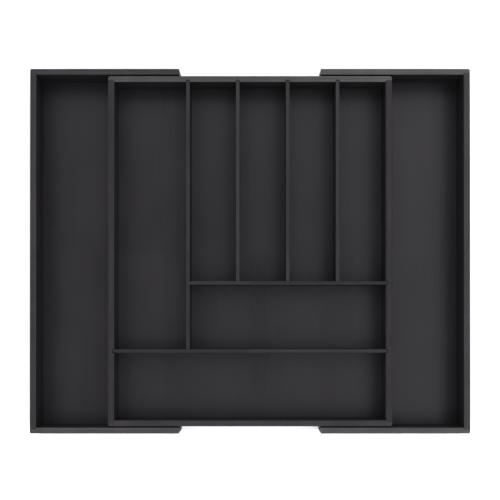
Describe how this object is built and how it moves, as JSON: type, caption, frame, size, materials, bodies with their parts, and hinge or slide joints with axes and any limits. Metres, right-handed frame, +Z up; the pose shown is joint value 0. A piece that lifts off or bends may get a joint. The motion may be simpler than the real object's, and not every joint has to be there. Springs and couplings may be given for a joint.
{
  "type": "cutlery tray",
  "caption": "Black-stained wooden drawer tray for cutlery: a centre tray with long and cross slots, and an extension tray that slides out of each side to fill the drawer.",
  "frame": {"origin": "on the surface the tray stands on, under the middle of the tray as it is pictured", "axes": "+X to the right along the slides, +Y to the rear, +Z up"},
  "size_m": [0.5184, 0.4296, 0.06],
  "materials": {
    "wall_wood": "black stain under a satin lacquer, edges eased",
    "divider_wood": "black stain under a satin lacquer",
    "floor_panel": "black stain under a matt lacquer",
    "runner_wood": "black stain, waxed where it slides",
    "dowel_wood": "plain, glued in"
  },
  "bodies": {
    "center_tray": {"center_front_wall": "wall_wood", "center_rear_wall": "wall_wood", "center_left_wall": "wall_wood", "center_right_wall": "wall_wood", "long_divider": "divider_wood", "cutlery_divider_1": "divider_wood", "cutlery_divider_2": "divider_wood", "cutlery_divider_3": "divider_wood", "short_cross_divider": "divider_wood", "long_cross_divider": "divider_wood", "center_floor": "floor_panel", "center_corner_dowels": "dowel_wood"},
    "left_extension": {"left_front_wall": "wall_wood", "left_rear_wall": "wall_wood", "left_end_wall": "wall_wood", "left_floor": "floor_panel", "left_front_runner": "runner_wood", "left_rear_runner": "runner_wood", "left_corner_dowels": "dowel_wood"},
    "right_extension": {"right_front_wall": "wall_wood", "right_rear_wall": "wall_wood", "right_end_wall": "wall_wood", "right_floor": "floor_panel", "right_front_runner": "runner_wood", "right_rear_runner": "runner_wood", "right_corner_dowels": "dowel_wood"}
  },
  "joints": [
    {"name": "left_extension_slide", "type": "slide", "parent": "center_tray", "child": "left_extension", "axis": [-1, 0, 0], "range_m": [-0.0828, 0.0305]},
    {"name": "right_extension_slide", "type": "slide", "parent": "center_tray", "child": "right_extension", "axis": [1, 0, 0], "range_m": [-0.0828, 0.0305]}
  ]
}
